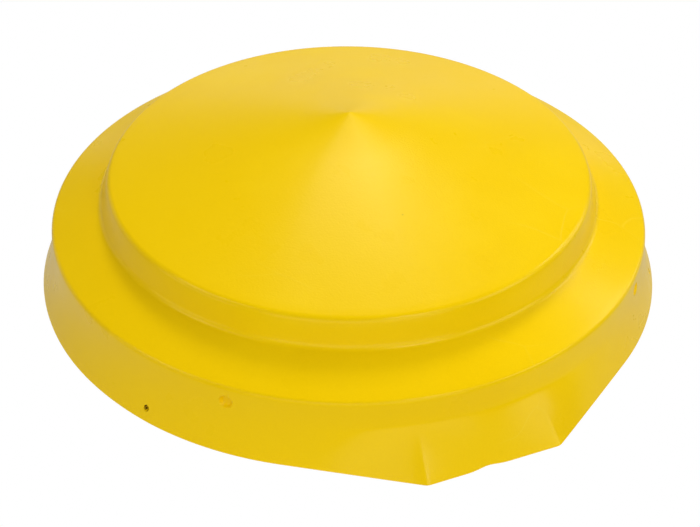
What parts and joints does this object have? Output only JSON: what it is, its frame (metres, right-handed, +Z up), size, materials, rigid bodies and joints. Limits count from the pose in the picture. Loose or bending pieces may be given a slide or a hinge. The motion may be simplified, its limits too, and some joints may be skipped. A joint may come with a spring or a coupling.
{
  "type": "retractable bollard",
  "caption": "In-ground retractable bollard shown lowered: stepped yellow conical hood over a lifting post, ground sleeve, key lock and gas strut.",
  "frame": {"origin": "on the bollard's axis at paving level, the underside of the ground flange and the level of the lowered hood's edge", "axes": "+Z up along the post; the lock and the flat pad of the hood's skirt are on the -Y side"},
  "size_m": [0.4, 0.4135, 0.886],
  "materials": {
    "hood_plastic": "satin",
    "black_plastic": "matt",
    "post_paint": "satin",
    "reflective_film": "satin",
    "galvanised_steel": "matt",
    "stainless_steel": "brushed",
    "strut_paint": "satin",
    "chromed_steel": "polished",
    "hardened_steel": "satin",
    "lock_brass": "satin",
    "black_rubber": "matt"
  },
  "bodies": {
    "ground_assembly": {"ground_sleeve": "galvanised_steel", "ground_flange": "galvanised_steel", "base_plate": "galvanised_steel", "drain_spigot": "galvanised_steel", "guide_rail": "galvanised_steel", "stop_ring": "galvanised_steel", "bump_stops": "black_rubber", "upper_guide_bush": "black_plastic", "wiper_seal": "black_rubber", "seal_retainer": "galvanised_steel", "retainer_screws": "stainless_steel", "barrel_housing": "lock_brass", "bolt_guide": "galvanised_steel", "lock_box": "galvanised_steel", "lock_box_floor": "galvanised_steel", "lock_floor_screws": "stainless_steel", "flap_hinge_pin": "stainless_steel", "flap_hinge_lugs": "galvanised_steel", "strut_cylinder": "strut_paint", "strut_socket": "galvanised_steel", "strut_pin": "stainless_steel", "strut_gland": "strut_paint"},
    "post_assembly": {"post_tube": "post_paint", "head_mounting_ring": "galvanised_steel", "head_plate": "post_paint", "head_screws": "stainless_steel", "reflective_band_1": "reflective_film", "reflective_band_2": "reflective_film", "reflective_band_3": "reflective_film", "lifting_cup": "galvanised_steel", "lifting_bar": "stainless_steel", "lower_guide_ring": "black_plastic", "strut_rod": "chromed_steel", "strut_piston": "hardened_steel", "strut_crossbar": "galvanised_steel", "rod_nut_upper": "stainless_steel", "rod_nut_lower": "stainless_steel"},
    "hood_assembly": {"hood": "hood_plastic", "hood_locating_ring": "black_plastic"},
    "key_core": {"key_barrel": "lock_brass", "cam_disc": "hardened_steel", "cam_screw": "stainless_steel"},
    "bolt_assembly": {"lock_bolt": "stainless_steel", "cam_pin": "stainless_steel"},
    "flap_assembly": {"key_flap": "stainless_steel"}
  },
  "joints": [
    {"name": "post_lift", "type": "slide", "parent": "ground_assembly", "child": "post_assembly", "axis": [0, 0, 1], "range_m": [0, 0.5]},
    {"name": "hood_lift", "type": "slide", "parent": "post_assembly", "child": "hood_assembly", "axis": [0, 0, 1], "range_m": [0, 0.13]},
    {"name": "key_turn", "type": "hinge", "parent": "ground_assembly", "child": "key_core", "pos_m": [0, -0.178, -0.028], "axis": [0, 0, 1], "range_deg": [0, 90]},
    {"name": "bolt_throw", "type": "slide", "parent": "ground_assembly", "child": "bolt_assembly", "axis": [0, 1, 0], "range_m": [0, 0.012]},
    {"name": "flap_swing", "type": "hinge", "parent": "ground_assembly", "child": "flap_assembly", "pos_m": [0, -0.1635, 0.016], "axis": [-1, 0, 0], "range_deg": [0, 100]}
  ],
  "couplings": [
    {"joint": "key_turn", "follows": "bolt_throw", "rad_per_m": 130.9}
  ]
}
